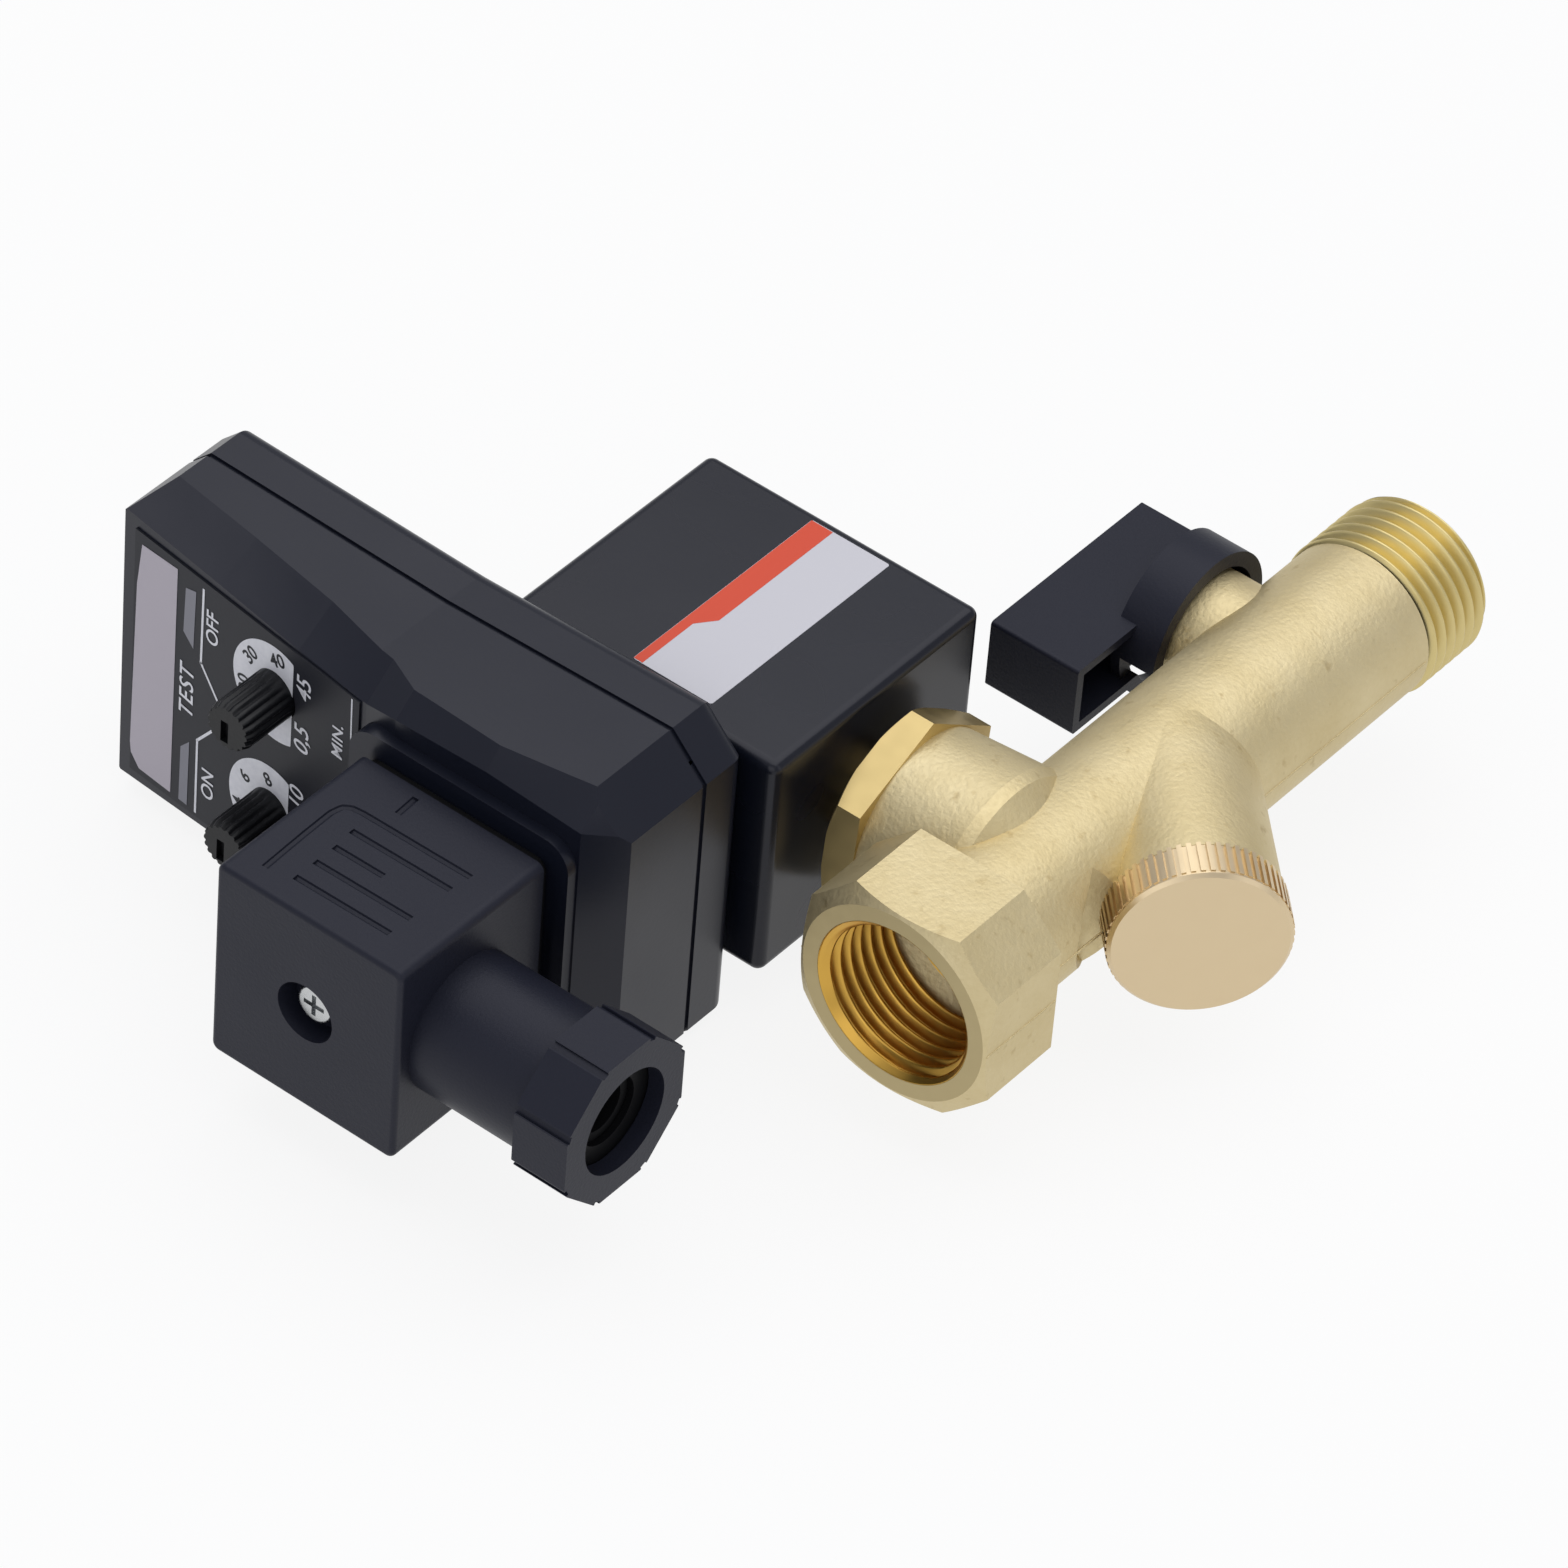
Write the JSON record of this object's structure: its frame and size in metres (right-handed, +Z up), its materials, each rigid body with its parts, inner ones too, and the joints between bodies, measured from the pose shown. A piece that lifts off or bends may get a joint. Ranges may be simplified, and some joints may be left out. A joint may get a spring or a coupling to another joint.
{
  "type": "automatic condensate drain valve",
  "caption": "Timer-controlled condensate drain valve: forged brass body with ball valve and strainer, moulded solenoid coil, interval timer and cable plug",
  "frame": {"origin": "centre of the end face of the male inlet thread, on the run's axis", "axes": "+Y out of the inlet along the run, +X from the coil towards the strainer, +Z up, square to the plane of run and strainer branch"},
  "size_m": [0.1281, 0.143, 0.0444],
  "materials": {
    "forged_brass": "blasted forging, satin",
    "turned_brass": "fine turned",
    "chromed_brass": "polished chrome plate",
    "stainless": "drawn stainless",
    "zinc_steel": "bright zinc plated",
    "copper": "enamelled copper",
    "tinned_brass": "tin plated",
    "ptfe": "waxy white",
    "nitrile": "black nitrile",
    "black_plastic": "fine satin moulding",
    "gloss_black_plastic": "glossy moulding",
    "label_film": "printed polyester film",
    "natural_nylon": "natural moulding",
    "blue_plastic": "moulded",
    "board_green": "solder resist",
    "lamp_lens": "clear lens"
  },
  "bodies": {
    "valve": {"body": "forged_brass", "ball_seats": "ptfe", "seat_retainer": "turned_brass", "armature_tube": "turned_brass", "tube_o_ring": "nitrile", "fixed_core": "stainless", "shading_ring": "copper", "return_spring": "stainless", "coil_housing": "gloss_black_plastic", "magnet_frame": "zinc_steel", "bobbin": "natural_nylon", "winding": "copper", "coil_terminals": "tinned_brass", "coil_washer": "zinc_steel", "coil_nut": "zinc_steel", "coil_gasket": "nitrile", "timer_rear": "black_plastic", "timer_cover": "gloss_black_plastic", "face_label": "label_film", "cover_screws": "zinc_steel", "circuit_board": "board_green", "timer_contacts": "tinned_brass", "plug_pins": "tinned_brass", "potentiometers": "blue_plastic", "test_switch": "black_plastic", "indicator_leds": "lamp_lens", "plug_gasket": "nitrile", "plug_housing": "black_plastic", "plug_insert": "natural_nylon", "plug_screw": "zinc_steel", "gland_seal": "nitrile"},
    "lever_set": {"lever": "black_plastic", "lever_screw": "zinc_steel", "stem": "turned_brass", "stem_washer": "ptfe", "stem_o_rings": "nitrile", "ball": "chromed_brass"},
    "plunger_set": {"plunger": "stainless", "plunger_seal": "nitrile"},
    "off_dial": {"off_time_knob": "black_plastic"},
    "on_dial": {"on_time_knob": "black_plastic"},
    "test_key": {"test_button": "label_film"},
    "strainer_set": {"strainer_screen": "stainless"},
    "cap_set": {"strainer_cap": "turned_brass", "strainer_o_ring": "nitrile"},
    "gland_slide": {"gland_washer": "zinc_steel"},
    "gland_turn": {"gland_nut": "black_plastic"}
  },
  "joints": [
    {"name": "lever_turn", "type": "hinge", "parent": "valve", "child": "lever_set", "pos_m": [-0.0175, -0.0255, 0], "axis": [1, 0, 0], "range_deg": [-90, 0]},
    {"name": "plunger_lift", "type": "slide", "parent": "valve", "child": "plunger_set", "axis": [-1, 0, 0], "range_m": [0, 0.0016], "stiffness_N_per_m": 150, "springref_m": -0.004, "deforming": ["return_spring"]},
    {"name": "off_dial_turn", "type": "hinge", "parent": "valve", "child": "off_dial", "pos_m": [-0.0763, -0.1139, 0.00943], "axis": [0, -1, 0], "range_deg": [-135, 135]},
    {"name": "on_dial_turn", "type": "hinge", "parent": "valve", "child": "on_dial", "pos_m": [-0.0763, -0.1139, -0.00863], "axis": [0, -1, 0], "range_deg": [-135, 135]},
    {"name": "test_press", "type": "slide", "parent": "valve", "child": "test_key", "axis": [0, 1, 0], "range_m": [0, 0.0004], "stiffness_N_per_m": 500, "springref_m": -0.0004},
    {"name": "strainer_slide", "type": "slide", "parent": "valve", "child": "strainer_set", "axis": [0.7071, -0.7071, 0], "range_m": [0, 0.006]},
    {"name": "cap_unscrew", "type": "hinge", "parent": "strainer_set", "child": "cap_set", "pos_m": [0.01414, -0.06224, 0], "axis": [0.7071, -0.7071, 0], "range_deg": [0, 1440]},
    {"name": "gland_slide_out", "type": "slide", "parent": "valve", "child": "gland_slide", "axis": [1, 0, 0], "range_m": [0, 0.0045]},
    {"name": "gland_unscrew", "type": "hinge", "parent": "gland_slide", "child": "gland_turn", "pos_m": [-0.0137, -0.13235, 0], "axis": [1, 0, 0], "range_deg": [0, 1080]}
  ],
  "couplings": [
    {"joint": "strainer_slide", "follows": "cap_unscrew", "m_per_rad": 0.00023871},
    {"joint": "gland_slide_out", "follows": "gland_unscrew", "m_per_rad": 0.00023871}
  ]
}
